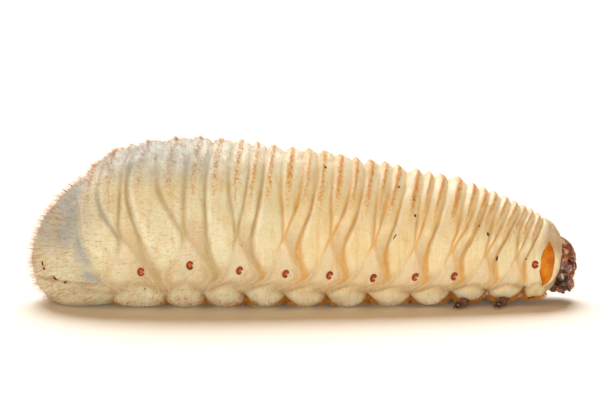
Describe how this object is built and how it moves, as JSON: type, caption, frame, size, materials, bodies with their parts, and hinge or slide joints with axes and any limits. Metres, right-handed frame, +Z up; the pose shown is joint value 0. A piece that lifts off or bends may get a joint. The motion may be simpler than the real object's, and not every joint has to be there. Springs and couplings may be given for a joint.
{
  "type": "sun beetle larva",
  "caption": "Stout ringed beetle grub lying stretched on its belly, with a small dark head, a plate on each side of the first ring, short legs and a broad rounded tail.",
  "frame": {"origin": "on the floor, under the middle of the bounding box", "axes": "+X from the tail to the head, +Y to the animal's left side, +Z up"},
  "size_m": [0.0495, 0.015, 0.0148],
  "materials": {
    "skin": "waxy cream skin, slightly see-through, with orange furrows and fine bristles",
    "plate": "smooth orange horn",
    "head": "glossy red-brown horn",
    "jaw": "glossy black-brown horn",
    "leg": "satin red-brown horn"
  },
  "bodies": {
    "root": {"anal_segment": "skin", "abdomen_8": "skin", "abdomen_7": "skin", "abdomen_6": "skin", "abdomen_5": "skin", "abdomen_4": "skin", "abdomen_3": "skin", "abdomen_2": "skin", "abdomen_1": "skin", "metathorax": "skin", "mesothorax": "skin", "prothorax": "skin", "prothoracic_plate_left": "plate", "prothoracic_plate_right": "plate", "head_capsule": "head", "labrum": "head", "labium": "head", "mandible_left": "jaw", "mandible_right": "jaw", "antenna_left": "leg", "antenna_right": "leg", "maxilla_left": "leg", "maxilla_right": "leg", "leg_front_left": "leg", "leg_front_right": "leg", "leg_middle_left": "leg", "leg_middle_right": "leg", "leg_hind_left": "leg", "leg_hind_right": "leg"}
  },
  "joints": []
}
